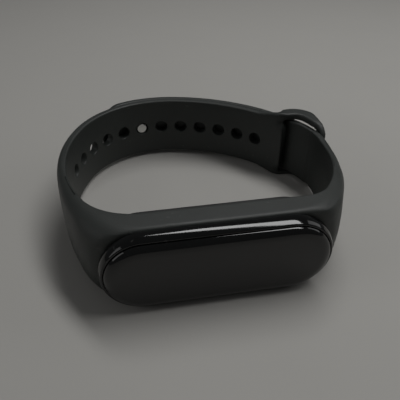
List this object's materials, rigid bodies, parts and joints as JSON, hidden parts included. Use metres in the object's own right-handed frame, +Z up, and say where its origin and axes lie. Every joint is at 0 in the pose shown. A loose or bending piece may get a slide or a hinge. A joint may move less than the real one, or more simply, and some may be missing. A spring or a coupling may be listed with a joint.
{
  "type": "fitness tracker band",
  "caption": "Wrist activity tracker: black rounded capsule in a soft strap with a row of holes, a stud and a keeper ring, stored closed and standing on the strap's edge.",
  "frame": {"origin": "on the surface the band stands on, under the middle of the loop's overall box", "axes": "+Z up along the axis of the wrist loop, the display faces -Y, +X along the capsule"},
  "size_m": [0.067, 0.0658, 0.0184],
  "materials": {
    "silicone": "satin moulded silicone, dark charcoal",
    "stud_metal": "fine turned steel",
    "cover_glass": "polished black glass with a curved edge",
    "gloss_black": "polished black",
    "matt_black": "fine matt",
    "film": "clear film over black",
    "display": "dark display module",
    "plate_metal": "thin stamped sheet",
    "flex": "amber polyimide",
    "gasket": "soft foam",
    "sensor_window": "dark smoked lens",
    "gold": "thin gold plate",
    "board": "green solder resist",
    "chip": "moulded epoxy",
    "led": "clear green package",
    "photodiode": "clear package over dark silicon",
    "battery_foil": "foil pouch",
    "tape": "white adhesive tape",
    "weight_metal": "sintered heavy metal"
  },
  "bodies": {
    "strap": {"strap_cradle": "silicone", "hole_arm": "silicone", "buckle_ring": "silicone", "stud_arm": "silicone"},
    "strap_tip": {"stud_arm_tip": "silicone", "stud_pin": "stud_metal", "stud_cap": "stud_metal"},
    "capsule": {"cover_glass": "cover_glass", "touch_film": "film", "display_panel": "display", "display_plate": "plate_metal", "display_flex": "flex", "front_frame": "gloss_black", "sealing_gasket": "gasket", "back_housing": "matt_black", "sensor_window": "sensor_window", "charging_contacts": "gold", "main_board": "board", "processor_chip": "chip", "memory_chip": "chip", "motion_sensor": "chip", "shield_can": "plate_metal", "antenna_strip": "gold", "sensor_leds": "led", "photodiode": "photodiode", "light_barrier": "matt_black", "battery": "battery_foil", "battery_tape": "tape", "battery_flex": "flex", "motor_pad": "gasket", "motor_can": "plate_metal"},
    "motor_rotor": {"motor_shaft": "plate_metal", "motor_weight": "weight_metal"}
  },
  "joints": [
    {"name": "capsule_release", "type": "slide", "parent": "strap", "child": "capsule", "axis": [0, -1, 0], "range_m": [0, 0.02]},
    {"name": "tip_peel", "type": "hinge", "parent": "strap", "child": "strap_tip", "pos_m": [-0.00015, 0.03168, 0.0092], "axis": [0, 0, -1], "range_deg": [0, 75]},
    {"name": "motor_spin", "type": "hinge", "parent": "capsule", "child": "motor_rotor", "pos_m": [0.01378, -0.02602, 0.0092], "axis": [0, 0, 1], "continuous": true}
  ]
}
